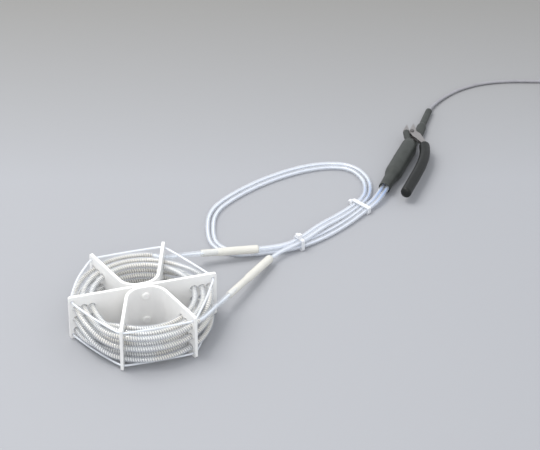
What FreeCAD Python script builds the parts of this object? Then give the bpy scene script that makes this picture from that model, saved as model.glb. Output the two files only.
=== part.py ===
import FreeCAD, Part
import math
import os

V = FreeCAD.Vector
UP = V(0, 0, 1)
os.makedirs("parts", exist_ok=True)

# ---- driving dimensions, millimetres --------------------------------------------------------
# plate frame: origin at the middle of the centre plate's bottom edge, X along that plate, Z up
TIP_R = 75.0            # centre of the frame to the tip of each arm
PLATE_H = 50.0          # height of the three plates
PLATE_T = 3.0           # thickness of the plates
TIP_ANGLE = 60.0        # direction of the bent plates' tips from the centre plate
BEND_R = 18.0           # bend radius of the bent plates, at mid thickness
BEND_FLAT = 3.0         # half the flat that lies on the centre plate
CORNER_R = 2.0          # rounding of the plates' outer corners
COLUMNS = (51.5, 59.5, 67.5)    # distance of the three columns of holes from the centre
ROWS = (36.0, 23.0, 10.0)       # height of the three rows of holes
TUBE_HOLE_R = 3.8
TIE_R = 71.4            # distance of the tie strand holes from the centre
TIE_ROWS = (44.5, 4.5)
TIE_HOLE_R = 1.8
BOLT_X = 2.0
BOLT_ROWS = (39.5, 10.0)
BOLT_R = 2.5
BOLT_HEAD_R = 4.2
BOLT_HEAD_T = 2.2
NUT_R = 4.6
NUT_T = 3.0
STRAND_R = 1.15
STRAND_OUT = 1.4        # how far the strand's corner points lie outside its holes

# heater tube and what is inside it
TUBE_R = 3.0
TUBE_BORE = 2.3
CORE_R = 1.9
LEAD_WIRE_R = 0.9
POINTS_PER_TURN = 12

# joint sleeves and lead tubes
SLEEVE_THIN_R = 3.75
SLEEVE_R = 4.4
SLEEVE_GAP = 0.1
LEAD_R = 2.5
LEAD_GAP = 2.65         # half the distance between the two lead tubes

# boot, clip and mains cord
BOOT_Z = 9.25
BOOT_R = 9.25
BOOT_ANGLE = 53.0
CLIP_ANGLE = -16.0      # turn of the clip from its own X right, Y towards the jaw tips
CLIP_AT = V(355.4, 230.0, 0)
FLANGE_T = 1.0
FIXED_Z = (10.8, 15.2)  # outside faces of the fixed half's channel
LEVER_Z = (9.6, 16.4)   # outside faces of the lever half's channel
PIN_R = 1.3
PIN_GAP = 0.05
CORD_R = 1.7
COIL_R = (13.4, 24.0)   # inner and outer radius of the put-away coil
COIL_H = 13.8
COIL_AT = V(567.6, 270.4, 1.1)


def export(name, shape):
    """Writes one node, and says how large it is."""
    shape.exportStep("parts/%s.step" % name)
    print("%-22s solids %2d  volume %9.1f  valid %s" % (name, len(shape.Solids), shape.Volume, shape.isValid()))


def polar(radius, degrees, z=0.0):
    a = math.radians(degrees)
    return V(radius * math.cos(a), radius * math.sin(a), z)


# ---- routes: straight runs joined by tangent arcs -------------------------------------------
def route(points, say=""):
    """A wire of straight runs with an arc at each inner point, 0.45 of the shorter run long each way."""
    edges = []
    radii = []
    start = points[0]
    for before, here, after in zip(points, points[1:], points[2:]):
        a = (before - here).normalize()
        b = (after - here).normalize()
        turn = math.pi - a.getAngle(b)
        back = 0.45 * min(before.distanceToPoint(here), here.distanceToPoint(after))
        radius = back / math.tan(turn / 2)
        inward = (a + b).normalize()
        middle = here + inward * (radius / math.cos(turn / 2) - radius)
        edges.append(Part.LineSegment(start, here + a * back).toShape())
        edges.append(Part.Arc(here + a * back, middle, here + b * back).toShape())
        start = here + b * back
        radii.append(radius)
    edges.append(Part.LineSegment(start, points[-1]).toShape())
    wire = Part.Wire(edges)
    if say:
        print("%s: length %.0f, radii %s" % (say, wire.Length, " ".join("%.0f" % r for r in radii)))
    return wire


def rod(wire, radius):
    """A round rod of that radius along the wire."""
    first = wire.Edges[0]
    start = first.valueAt(first.FirstParameter)
    along = first.tangentAt(first.FirstParameter)
    ring = Part.Wire(Part.makeCircle(radius, start, along))
    solid = wire.makePipeShell([ring], True, False)
    area = math.pi * radius * radius
    if abs(solid.Volume / (area * wire.Length) - 1) > 0.01:
        print("rod volume is off:", solid.Volume, area * wire.Length)
    return solid


def cylinder(a, b, radius):
    return Part.makeCylinder(radius, a.distanceToPoint(b), a, b - a)


def prism(corners, z0, z1):
    """A flat polygon of plan corners, from one height to another."""
    pts = [V(x, y, z0) for x, y in corners]
    return Part.Face(Part.makePolygon(pts + [pts[0]])).extrude(V(0, 0, z1 - z0))


# ---- plate frame ----------------------------------------------------------------------------
TIP = polar(TIP_R, -TIP_ANGLE)
BEND_AT = V(BEND_FLAT, -PLATE_T - BEND_R, 0)
to_tip = TIP - BEND_AT
lean = math.atan2(to_tip.y, to_tip.x) - math.asin(BEND_R / to_tip.Length)
ARM_DIR = V(math.cos(lean), math.sin(lean), 0)
ARM_NORMAL = V(-ARM_DIR.y, ARM_DIR.x, 0)
BEND_END = BEND_AT + ARM_NORMAL * BEND_R


def arm_point(radius):
    """The point of the front right arm's middle plane at this distance from the frame's centre."""
    along = -BEND_END.dot(ARM_DIR) + math.sqrt(BEND_END.dot(ARM_DIR) ** 2 + radius ** 2 - BEND_END.dot(BEND_END))
    return BEND_END + ARM_DIR * along


def arms():
    """Each arm as a function from distance to point, and the direction of its holes."""
    def bent(sx, sy):
        return lambda r: V(sx * arm_point(r).x, -sy * arm_point(r).y, 0)

    found = {"right": (lambda r: V(r, 0, 0), V(0, 1, 0)), "left": (lambda r: V(-r, 0, 0), V(0, 1, 0))}
    for name, sx, sy in (("front_right", 1, -1), ("front_left", -1, -1), ("rear_right", 1, 1), ("rear_left", -1, 1)):
        found[name] = (bent(sx, sy), V(sx * ARM_NORMAL.x, -sy * ARM_NORMAL.y, 0))
    return found


def drill(plate, names):
    """Cuts the tube holes, the tie strand holes and the bolt holes."""
    for name in names:
        at, normal = arms()[name]
        for rows, columns, radius in ((ROWS, COLUMNS, TUBE_HOLE_R), (TIE_ROWS, (TIE_R,), TIE_HOLE_R)):
            for z in rows:
                for r in columns:
                    p = at(r) + UP * z
                    plate = plate.cut(cylinder(p - normal * PLATE_T, p + normal * PLATE_T, radius))
    for z in BOLT_ROWS:
        plate = plate.cut(cylinder(V(BOLT_X, -9, z), V(BOLT_X, 9, z), BOLT_R))
    return plate


def round_tips(plate):
    """Rounds the short edges at the plate's outer corners."""
    picked = []
    for e in plate.Edges:
        c = e.CenterOfMass
        if c.z in (0.0, PLATE_H) and math.hypot(c.x, c.y) > TIP_R - 1 and e.Length < PLATE_T + 0.01:
            picked.append(e)
    return plate.makeFillet(CORNER_R, picked)


centre_plate = Part.makeBox(2 * TIP_R, PLATE_T, PLATE_H, V(-TIP_R, -PLATE_T / 2, 0))
centre_plate = drill(round_tips(centre_plate), ("left", "right"))


def bent_outline(offset):
    """Half the bent plate's plan line, from the tip to the middle, shifted sideways by offset."""
    r = BEND_R + offset
    tip = TIP + ARM_NORMAL * offset
    end = BEND_AT + ARM_NORMAL * r
    mid_angle = (math.atan2(ARM_NORMAL.y, ARM_NORMAL.x) + math.pi / 2) / 2
    mid = BEND_AT + V(math.cos(mid_angle), math.sin(mid_angle), 0) * r
    top = BEND_AT + V(0, r, 0)
    return tip, end, mid, top


def bent_plate(side):
    """The U of the plan, extruded to the plate's height. side is -1 for the front, 1 for the rear."""
    def flip(p):
        return V(-p.x, p.y, p.z)

    o = bent_outline(PLATE_T / 2)
    i = bent_outline(-PLATE_T / 2)
    edges = [Part.LineSegment(i[0], o[0]).toShape(), Part.LineSegment(flip(i[0]), flip(o[0])).toShape()]
    for tip, end, mid, top in (o, i):
        edges.append(Part.LineSegment(tip, end).toShape())
        edges.append(Part.Arc(end, mid, top).toShape())
        edges.append(Part.LineSegment(top, flip(top)).toShape())
        edges.append(Part.Arc(flip(top), flip(mid), flip(end)).toShape())
        edges.append(Part.LineSegment(flip(end), flip(tip)).toShape())
    plan = Part.Face(Part.Wire(Part.__sortEdges__(edges)))
    plate = round_tips(plan.extrude(V(0, 0, PLATE_H)))
    plate = drill(plate, ("front_left", "front_right"))
    if side > 0:
        plate = plate.mirror(V(0, 0, 0), V(0, 1, 0))
        for z in BOLT_ROWS:
            plate = plate.cut(cylinder(V(BOLT_X, 0, z), V(BOLT_X, 9, z), BOLT_R))
    return plate


front_bent_plate = bent_plate(-1)
rear_bent_plate = bent_plate(1)

# two plastic bolts hold the three plates together
face = PLATE_T * 1.5
bolts = []
nuts = []
for z in BOLT_ROWS:
    head = Part.makeCylinder(BOLT_HEAD_R, BOLT_HEAD_T, V(BOLT_X, -face, z), V(0, -1, 0))
    head = head.makeFillet(1.2, [e for e in head.Edges if abs(e.CenterOfMass.y + face + BOLT_HEAD_T) < 1e-6])
    shank = cylinder(V(BOLT_X, -face, z), V(BOLT_X, face + NUT_T + 1.5, z), BOLT_R - 0.05)
    bolts.append(head.cut(front_bent_plate).fuse(shank).removeSplitter())
    nut = Part.Face(Part.makePolygon([V(BOLT_X, face, z) + V(NUT_R * math.cos(k * math.pi / 3), 0,
                                      NUT_R * math.sin(k * math.pi / 3)) for k in range(7)]))
    nut = nut.extrude(V(0, NUT_T, 0))
    nuts.append(nut.cut(cylinder(V(BOLT_X, 0, z), V(BOLT_X, 20, z), BOLT_R)).cut(rear_bent_plate))

# tie strands: one at the top and one at the bottom, round the tips of all six arms
STRAND_BOWS = (("right", 0.8), ("rear_right", 0.8), ("rear_left", 4.6), ("left", 2.3), ("front_left", 0.9),
               ("front_right", 1.6))


def tie_strand(z):
    """A strand through the six arms. It starts and ends face to face, half way along one side."""
    corners = [arms()[name][0](TIE_R + STRAND_OUT) + UP * z for name, _ in STRAND_BOWS]
    pts = []
    for k, (_, bow) in enumerate(STRAND_BOWS):
        here = corners[k]
        after = corners[(k + 1) % 6]
        middle = (here + after) * 0.5
        out = V(middle.x, middle.y, 0).normalize()
        pts.append(here)
        pts += [here + (after - here) * t + out * bow * part for t, part in ((0.17, 0.5), (0.5, 1), (0.83, 0.5))]
    start = (pts[-1] + pts[-2]) * 0.5
    return rod(route([start, pts[-1]] + pts[:-1] + [start]), STRAND_R)


# ---- heater tube: nine rings, from the rear right arm to the front right arm -------------------
# each ring's (column, row) from the rear right arm to the left one, then at both front arms, then at the right one
RINGS = (((2, 0), (2, 1), (2, 1)), ((2, 1), (2, 2), (2, 2)), ((2, 2), (1, 2), (1, 2)), ((1, 2), (0, 2), (0, 2)),
         ((0, 2), (0, 1), (0, 1)), ((0, 1), (0, 0), (0, 0)), ((0, 0), (1, 0), (1, 0)), ((1, 1), (1, 1), (2, 0)),
         ((1, 0), (2, 0), None))
REAR_SLEEVE = (V(80.0, 81.45, 13.9), V(139.7, 77.7, 10.0))
FRONT_SLEEVE = (V(88.0, 2.0, 17.0), V(148.0, 62.0, 7.5))
JOINT_IN = 14.0         # how far the lead tube reaches into the sleeve


def along(pair, distance):
    """A point that far from the pair's first point towards its second."""
    return pair[0] + (pair[1] - pair[0]).normalize() * distance


REAR_JOINT = along(REAR_SLEEVE[::-1], JOINT_IN)
FRONT_JOINT = along(FRONT_SLEEVE[::-1], JOINT_IN)


def heater_points():
    """Ring points every 30 degrees. The tube moves on to its next hole left of the front left arm, and on the right."""
    step = 360.0 / POINTS_PER_TURN
    grow = 1 / math.cos(math.radians(step / 2))
    pts = [REAR_JOINT, along(REAR_SLEEVE, -14.0), V(50.0, 62.5, 29.5), V(35.6, 55.2, 36.0)]
    for k, (rear, front, right) in enumerate(RINGS):
        angles = [(a, rear) for a in (45.0, 75.0, 105.0, 135.0, 165.0, 195.0)]
        angles += [(a, front) for a in (225.0, 255.0, 285.0, 315.0)]
        angles += [(a, right) for a in (345.0, 375.0)]
        if k == 0:
            angles = angles[1:]
        if right is None:
            angles = angles[:-3]
        pts += [polar(COLUMNS[column] * grow, a, ROWS[row]) for a, (column, row) in angles]
    pts += [V(49.0, -49.4, 35.2), V(68.0, -24.5, 27.5), along(FRONT_SLEEVE, -14.0), FRONT_JOINT]
    return pts


# ---- lead tubes: a pair that runs from the boot through both ties, round the loop and back --------
BOOT_AXIS = polar(1, BOOT_ANGLE)
BOOT_MOUTH = V(297.3, 146.0, BOOT_Z)
FIRST_PASS = (          # x, y, z of the pair's middle, half its spacing
    (300.5, 150.1, 9.25, 2.6), (287.0, 133.6, 6.2, 2.65), (268.8, 122.9, 3.8, 2.65), (243.0, 105.5, 3.0, 2.9),
    (214.0, 90.5, 3.0, 3.3), (185.0, 79.5, 3.8, 2.65), (163.0, 79.5, 2.9, 2.65), (137.5, 82.5, 2.6, 2.8),
    (114.0, 87.5, 2.6, 2.9), (100.5, 105.0, 2.6, 2.8), (102.0, 129.0, 2.6, 2.9), (112.5, 161.0, 2.6, 3.2),
    (134.0, 180.0, 2.6, 3.4), (176.0, 201.0, 2.6, 3.2), (223.0, 213.0, 2.6, 3.6), (258.0, 211.5, 2.6, 3.4),
    (279.0, 200.0, 2.6, 3.2), (286.5, 178.0, 2.6, 3.0), (283.5, 157.5, 2.8, 2.8), (273.5, 138.8, 3.8, 2.65),
    (243.5, 119.5, 3.4, 2.8), (214.0, 101.5, 7.6, 2.8), (185.0, 79.5, 9.4, 2.65))
REAR_LEAD_END = along(REAR_SLEEVE[::-1], -20.0)
FRONT_LEAD_END = along(FRONT_SLEEVE[::-1], -12.0)


def beside(points, side):
    """The points of one of the pair, to the left of the route for side 1 and to the right for -1."""
    moved = []
    for k, (x, y, z, gap) in enumerate(points):
        before = points[max(k - 1, 0)]
        after = points[min(k + 1, len(points) - 1)]
        a = V(x - before[0], y - before[1], 0)
        b = V(after[0] - x, after[1] - y, 0)
        heading = V(0, 0, 0)
        for run in (a, b):
            if run.Length > 0:
                heading += run.normalize()
        heading.normalize()
        moved.append(V(x - heading.y * gap * side, y + heading.x * gap * side, z))
    return moved


rear_lead_points = beside(FIRST_PASS, -1) + [REAR_LEAD_END, REAR_JOINT]
front_lead_points = beside(FIRST_PASS, 1) + [FRONT_LEAD_END, FRONT_JOINT]


def stepped_sleeve(pair, thin, joint):
    """A shrunk sleeve: thin over the heater tube, then thicker, with a bore for each of the two tubes."""
    step = along(pair, thin)
    outer = cylinder(pair[0], step, SLEEVE_THIN_R).fuse(cylinder(step, pair[1], SLEEVE_R)).removeSplitter()
    outer = outer.cut(cylinder(along(pair, -1), joint, TUBE_R + SLEEVE_GAP))
    return outer.cut(cylinder(joint, along(pair[::-1], -1), LEAD_R + SLEEVE_GAP))


def cable_tie(at, heading, inside, z0, width, head):
    """A flat band round a bundle, with its head. inside is how far the bundle reaches to each side and up."""
    low, high, height = inside
    wall = 1.0
    ring = Part.makeBox(width, high - low + 2 * wall, height + 2 * wall, V(-width / 2, low - wall, -wall))
    ring = ring.makeFillet(1.6, [e for e in ring.Edges if abs(e.CenterOfMass.x) < 1e-6])
    hole = Part.makeBox(width + 2, high - low, height, V(-width / 2 - 1, low, 0))
    hole = hole.makeFillet(0.8, [e for e in hole.Edges if abs(e.CenterOfMass.x) < 1e-6])
    block = Part.makeBox(width + 1.2, 4.2, 4.6, V(-width / 2 - 0.6, head[0], head[1]))
    block = block.makeFillet(0.5, block.Edges)
    tail = Part.makeBox(width - 0.6, 3.0, 1.0, V(-width / 2 + 0.3, head[0] + 4.1, head[1] + 2.2))
    tie = ring.fuse(block).fuse(tail).cut(hole).removeSplitter()
    tie.rotate(V(0, 0, 0), UP, heading)
    tie.translate(at + UP * z0)
    return tie


# ---- boot: shrunk over the lead tubes, the splices and one handle of the clip -----------------
def on_boot(s, side=0.0, z=BOOT_Z):
    """A point s from the boot's mouth along its axis, side to its right, at height z."""
    right = V(BOOT_AXIS.y, -BOOT_AXIS.x, 0)
    p = BOOT_MOUTH + BOOT_AXIS * s + right * side
    return V(p.x, p.y, z)


def turned(profile, axis_start, axis):
    """Revolves a profile of (distance along, radius) about an axis."""
    out = axis.cross(axis.cross(UP)).normalize()
    pts = [axis_start + axis * s + out * r for s, r in profile]
    shape = Part.Face(Part.makePolygon(pts + [pts[0]])).revolve(axis_start, axis, 360)
    return shape


def clip_point(x, y, z):
    """Clip's own coordinates to the part's: X right, Y towards the jaw tips, pivot at 0, 0."""
    return FreeCAD.Rotation(UP, CLIP_ANGLE).multVec(V(x, y, z)) + CLIP_AT


def place_clip(shape):
    shape.rotate(V(0, 0, 0), UP, CLIP_ANGLE)
    shape.translate(CLIP_AT)
    return shape


CLIP_Z = (FIXED_Z[0] + FIXED_Z[1]) / 2
boot_outer = turned([(0, 0), (0, 6.5), (18, 6.7), (21, 7.1), (27, 8.9), (30, BOOT_R), (82, BOOT_R), (85.5, 8.9),
                     (88.5, 7.8), (91, 5.8), (92.2, 3.4), (92.6, 0)], BOOT_MOUTH, BOOT_AXIS)
boot_inner = turned([(-1, 0), (-1, 5.4), (25, 5.4), (31, 7.7), (81, 7.7), (87, 5.5), (87, 0)], BOOT_MOUTH, BOOT_AXIS)
NECK = [on_boot(84, 0, 11.6), clip_point(-5.6, -8.0, CLIP_Z), clip_point(-6.0, 2.6, CLIP_Z)]
neck_outer = rod(route(NECK), 3.7)
neck_inner = rod(route([NECK[0], NECK[1], clip_point(-6.0, 2.61, CLIP_Z)]), 2.5)

# clip, fixed half: a sheet channel, its root in the neck and its handle in the boot
fixed_plan = [(-8.4, -3.0), (-9.4, 2.8), (-4.9, 14.4), (-2.9, 3.2), (-1.2, 3.1), (1.6, 2.6), (3.0, 0.8), (3.0, -1.2),
              (1.2, -2.9), (-3.6, -3.4)]
fixed_edge = [(-8.4, -3.0), (-9.4, 2.8), (-4.9, 14.4), (-4.7, 11.6), (-8.35, 2.6), (-7.4, -3.0)]
fixed = prism(fixed_plan, FIXED_Z[0], FIXED_Z[0] + FLANGE_T)
fixed = fixed.fuse(prism(fixed_plan, FIXED_Z[1] - FLANGE_T, FIXED_Z[1]))
fixed = fixed.fuse(prism(fixed_edge, *FIXED_Z))
fixed = fixed.cut(Part.makeCylinder(PIN_R + PIN_GAP, 30, V(0, 0, 0)))
fixed = place_clip(fixed)
handle = [clip_point(-6.1, -1.0, CLIP_Z), clip_point(-5.7, -8.0, CLIP_Z), on_boot(80, 0, 12.4), on_boot(38, 0, 12.4)]
fixed = fixed.fuse(rod(route(handle), 1.6)).removeSplitter()

# clip, lever half: a wider channel outside the fixed one, its tongue in the grip
lever_plan = [(-2.1, 2.9), (2.2, 14.4), (4.5, 2.9), (4.6, 0.0), (8.6, -4.9), (11.8, -13.5), (14.2, -21.5),
              (14.8, -30.0), (10.0, -30.0), (9.4, -22.0), (8.2, -15.0), (3.4, -8.6), (-1.4, -5.0), (-2.8, -0.8)]
lever_cheek = lever_plan[:9] + [(9.2, -22.0), (6.3, -17.4), (4.0, -13.8), (0.6, -9.8), (-1.4, -5.2), (-2.8, -0.8)]
lever_edge = [(2.2, 14.4), (4.5, 2.9), (3.5, 2.9), (1.9, 11.2)]
lever_back = [(8.6, -4.9), (11.8, -13.5), (14.2, -21.5), (14.8, -30.0), (13.8, -30.0), (13.2, -21.6), (10.8, -13.6),
              (7.7, -5.2)]
lever = prism(lever_plan, LEVER_Z[0], LEVER_Z[0] + FLANGE_T)
lever = lever.fuse(prism(lever_cheek, LEVER_Z[1] - FLANGE_T, LEVER_Z[1]))
lever = lever.fuse(prism(lever_edge, *LEVER_Z)).fuse(prism(lever_back, *LEVER_Z))
lever = lever.cut(Part.makeCylinder(PIN_R + PIN_GAP, 30, V(0, 0, 0))).removeSplitter()
lever = place_clip(lever)

# vinyl grip dipped over the lever
GRIP = [(12.2, -21.0), (12.9, -33.0), (10.8, -50.0), (4.3, -70.8), (-2.6, -89.0), (-10.4, -110.0)]
GRIP_W = 5.7
GRIP_H = 6.3
grip_wire = route([V(x, y, CLIP_Z) for x, y in GRIP])
grip_start = V(GRIP[0][0], GRIP[0][1], CLIP_Z)
grip_along = V(GRIP[1][0] - GRIP[0][0], GRIP[1][1] - GRIP[0][1], 0).normalize()
section = Part.Ellipse(V(0, 0, 0), GRIP_H, GRIP_W).toShape()
section.Placement = FreeCAD.Placement(grip_start, FreeCAD.Rotation(UP, UP.cross(grip_along), grip_along, "ZYX"))
grip = grip_wire.makePipeShell([Part.Wire(section)], True, False)


def grip_end(point, along_dir):
    """A rounded end: a flattened ball on the grip's end."""
    ball = Part.makeSphere(1.0)
    m = FreeCAD.Matrix()
    m.scale(V(GRIP_W, 3.4, GRIP_H))
    ball = ball.transformGeometry(m)
    ball.rotate(V(0, 0, 0), UP, math.degrees(math.atan2(along_dir.y, along_dir.x)) - 90)
    ball.translate(point)
    return ball


grip_stop = V(GRIP[-1][0], GRIP[-1][1], CLIP_Z)
grip_last = grip_stop - V(GRIP[-2][0], GRIP[-2][1], CLIP_Z)
grip = grip.fuse(grip_end(grip_start, grip_along)).fuse(grip_end(grip_stop, grip_last)).removeSplitter()
grip = place_clip(grip).cut(lever)

# pin with two flat heads, and the torsion spring round it
pin = Part.makeCylinder(PIN_R, LEVER_Z[1] - LEVER_Z[0] + 0.1, V(0, 0, LEVER_Z[0] - 0.05))
for z, way in ((LEVER_Z[0] - 0.05, -1), (LEVER_Z[1] + 0.05, 1)):
    cap = Part.makeCylinder(2.3, 0.8, V(0, 0, z), V(0, 0, way))
    cap = cap.makeFillet(0.4, [e for e in cap.Edges if abs(e.CenterOfMass.z - z - way * 0.8) < 1e-6])
    pin = pin.fuse(cap)
pin = place_clip(pin.removeSplitter())
SPRING_WIRE = 0.28
SPRING_R = 1.7
SPRING_H = 1.6
helix = Part.makeHelix(SPRING_H / 2, SPRING_H, SPRING_R)
ring = Part.Wire(Part.makeCircle(SPRING_WIRE, V(SPRING_R, 0, 0), V(0, 1, 0)))
spring = Part.Wire(helix).makePipeShell([ring], True, True)
spring.translate(V(0, 0, CLIP_Z - SPRING_H / 2))
for z, tip in ((CLIP_Z + SPRING_H / 2, (8.2, -7.7)), (CLIP_Z - SPRING_H / 2, (-0.4, -6.6))):
    knee = V(SPRING_R, 0, z)
    spring = spring.fuse(Part.makeSphere(SPRING_WIRE, knee)).fuse(cylinder(knee, V(tip[0], tip[1], z), SPRING_WIRE))
spring = place_clip(spring.removeSplitter())

# cord relief: a shrunk sleeve that leaves the boot under the clip, wide at first and then slim
RELIEF = [on_boot(82, 2.0, 5.2), V(362.5, 231.5, 5.0), V(373.4, 251.0, 4.6)]
RELIEF_END = V(391.6, 279.4, 3.9)
relief_wide = rod(route(RELIEF), 4.2)
slim_start = RELIEF[-1]
slim_length = RELIEF_END.distanceToPoint(slim_start)
relief_slim = turned([(-4.0, 0), (-4.0, 4.0), (0, 4.0), (5.0, 3.6), (slim_length, 3.6), (slim_length, 0)], slim_start,
                     (RELIEF_END - slim_start).normalize())
relief = relief_wide.fuse(relief_slim).removeSplitter()
CORD_IN = RELIEF_END - (RELIEF_END - slim_start).normalize() * 8.0
relief = relief.cut(cylinder(CORD_IN, RELIEF_END + (RELIEF_END - CORD_IN), CORD_R + 0.1))

boot = boot_outer.fuse(neck_outer).cut(boot_inner).cut(neck_inner).cut(fixed).cut(relief)
boot = max(boot.Solids, key=lambda s: s.Volume)
relief = relief.cut(boot_inner)

# splices inside the boot: a crimped sleeve on each lead wire
splices = []
for side in (-2.7, 2.7):
    splices.append(cylinder(on_boot(44, side, 6.4), on_boot(66, side, 6.4), 2.1))
splice_wires = []
for side in (-2.6, 2.6):
    splice_wires.append(cylinder(on_boot(6.4, side), on_boot(40, side, 6.9), LEAD_WIRE_R))

# ---- mains cord: along the floor, then put away in a neat coil with its plug beside it ------------
CORD_OUT = RELIEF_END + (RELIEF_END - CORD_IN) * 0.5
CORD = [CORD_IN, CORD_OUT, V(403.0, 292.5, 2.4), V(419.5, 304.5, 1.8), V(440.0, 314.0, 1.8), V(466.0, 318.5, 1.8),
        V(494.0, 315.5, 1.8), V(523.0, 307.0, 1.8), V(548.0, 299.0, 1.8), V(570.0, 292.6, 1.8)]
coil = Part.makeCylinder(COIL_R[1], COIL_H, COIL_AT).cut(Part.makeCylinder(COIL_R[0], 40, COIL_AT - UP * 5))
coil = coil.makeFillet(2.0, [e for e in coil.Edges if e.Closed])
mains_cord = rod(route(CORD, "mains cord to the coil"), CORD_R).cut(coil)
TAIL = [COIL_AT + V(16.0, 15.4, 6.0), V(594.0, 277.0, 5.4), V(604.0, 262.5, 6.6), V(608.5, 249.5, 7.0)]
PLUG_DIR = (TAIL[-1] - TAIL[-2]).normalize()
cord_tail = rod(route(TAIL, "cord from the coil to the plug"), CORD_R).cut(coil)


def frustum(x0, w0, h0, x1, w1, h1):
    """A tapered block between two rectangles across X."""
    wires = []
    for x, w, h in ((x0, w0, h0), (x1, w1, h1)):
        pts = [V(x, -w, -h), V(x, w, -h), V(x, w, h), V(x, -w, h), V(x, -w, -h)]
        wires.append(Part.makePolygon(pts))
    return Part.makeLoft(wires, True, True)


body = Part.makeBox(19, 22, 13.2, V(10, -11, -6.6))
body = body.makeFillet(2.4, body.Edges)
body = body.fuse(frustum(0, 3.4, 3.4, 12, 8.4, 5.6)).removeSplitter()
blades = []
for y in (-6.35, 6.35):
    blade = Part.makeBox(24.0, 1.5, 6.3, V(22.0, y - 0.75, -3.15))
    blades.append(blade.cut(Part.makeCylinder(1.6, 4, V(42.0, y - 2, 0), V(0, 1, 0))))
for b in blades:
    body = body.cut(b)
turn = FreeCAD.Rotation(V(1, 0, 0), V(PLUG_DIR.x, PLUG_DIR.y, 0))
plug_place = FreeCAD.Placement(TAIL[-1], turn)
body.Placement = plug_place
plug_blades = Part.makeCompound(blades)
plug_blades.Placement = plug_place
coil_tie = cable_tie(COIL_AT + V(0, -(COIL_R[0] + COIL_R[1]) / 2, 0), 0, (-5.6, 5.6, COIL_H + 0.2), -0.05, 3.0,
                     (-2.1, COIL_H + 0.6))

# ---- write the nodes --------------------------------------------------------------------------
heater = heater_points()
heater_wire = route(heater)
print("heater tube length %.0f, points %d" % (heater_wire.Length, len(heater)))
heater_tube = rod(heater_wire, TUBE_R).cut(rod(heater_wire, TUBE_BORE))
first_run = 6
last_run = 2 * len(heater) - 12
heating_core = rod(Part.Wire(heater_wire.Edges[first_run:last_run + 1]), CORE_R)
cold_rear = rod(Part.Wire(heater_wire.Edges[:first_run]), LEAD_WIRE_R)
cold_front = rod(Part.Wire(heater_wire.Edges[last_run + 1:]), LEAD_WIRE_R)

TIE_1 = V(266.0, 127.5, 0)
TIE_2 = V(184.6, 80.4, 0)
nodes = {
    "centre_plate": centre_plate,
    "front_bent_plate": front_bent_plate,
    "rear_bent_plate": rear_bent_plate,
    "plate_bolts": Part.makeCompound(bolts),
    "plate_nuts": Part.makeCompound(nuts),
    "upper_tie_strand": tie_strand(TIE_ROWS[0]),
    "lower_tie_strand": tie_strand(TIE_ROWS[1]),
    "heater_tube": heater_tube,
    "heating_core": heating_core,
    "cold_wires": Part.makeCompound([cold_rear, cold_front]),
    "rear_joint_sleeve": stepped_sleeve(REAR_SLEEVE, 17.5, REAR_JOINT),
    "front_joint_sleeve": stepped_sleeve(FRONT_SLEEVE, 38.0, FRONT_JOINT),
    "rear_lead_tube": rod(route(rear_lead_points, "rear lead tube"), LEAD_R),
    "front_lead_tube": rod(route(front_lead_points, "front lead tube"), LEAD_R),
    "boot_tie": cable_tie(TIE_1, 31.0, (-10.9, 11.4, 6.0), 1.1, 4.4, (9.6, 0.7)),
    "loop_tie": cable_tie(TIE_2, 22.0, (-5.9, 5.9, 11.2), 1.1, 3.6, (-2.1, 11.9)),
    "boot": boot,
    "clip_fixed_half": fixed,
    "clip_lever_half": lever,
    "clip_grip": grip,
    "clip_pin": pin,
    "clip_spring": spring,
    "wire_splices": Part.makeCompound(splices),
    "splice_wires": Part.makeCompound(splice_wires),
    "cord_relief": relief,
    "mains_cord": mains_cord,
    "mains_cord_coil": coil,
    "mains_cord_tail": cord_tail,
    "coil_tie": coil_tie,
    "plug_body": body,
    "plug_blades": plug_blades,
}
for name, shape in nodes.items():
    export(name, shape)
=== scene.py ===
import math

import bpy
import bmesh
from mathutils import Euler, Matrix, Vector


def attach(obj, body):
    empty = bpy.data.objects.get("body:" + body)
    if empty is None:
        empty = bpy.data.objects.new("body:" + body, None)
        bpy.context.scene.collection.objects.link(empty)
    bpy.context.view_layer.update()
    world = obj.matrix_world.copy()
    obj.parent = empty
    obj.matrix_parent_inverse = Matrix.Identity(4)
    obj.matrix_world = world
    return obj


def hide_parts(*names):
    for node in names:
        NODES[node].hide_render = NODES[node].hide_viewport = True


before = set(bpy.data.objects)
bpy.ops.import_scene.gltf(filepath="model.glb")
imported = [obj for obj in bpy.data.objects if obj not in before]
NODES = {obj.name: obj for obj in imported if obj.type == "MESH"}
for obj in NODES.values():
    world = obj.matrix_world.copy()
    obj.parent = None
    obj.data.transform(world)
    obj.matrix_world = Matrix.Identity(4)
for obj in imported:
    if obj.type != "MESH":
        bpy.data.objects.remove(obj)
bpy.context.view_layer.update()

bl_info = {
    "name": "Coil heater",
    "version": (1, 0, 0),
    "blender": (4, 5, 0),
    "location": "3D View > Sidebar > Coil heater",
    "description": "Builds the visible pieces of a coil heater on its plate frame, "
                   "with its lead tubes, boot, clip and cord",
    "category": "Object",
}

ROOT = "heater"
LEVER = "clip_lever"
UP = Vector((0, 0, 1))


def mm(x, y, z=0.0):
    """A point given in millimetres."""
    return Vector((x, y, z)) * 0.001


def polar(radius, degrees, z):
    """A point at that radius and height in millimetres, that many degrees round the z axis."""
    a = math.radians(degrees)
    return mm(radius * math.cos(a), radius * math.sin(a), z)


def on_line(a, b, distance):
    """The point that far from a towards b, in millimetres."""
    return a + (b - a).normalized() * (distance * 0.001)


# ---- the routes: the construction's points in millimetres, except that the grip starts lower ----
COLUMNS = (51.5, 59.5, 67.5)    # the tube holes' distances from the frame's centre
ROWS = (36.0, 23.0, 10.0)       # and their heights
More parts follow.
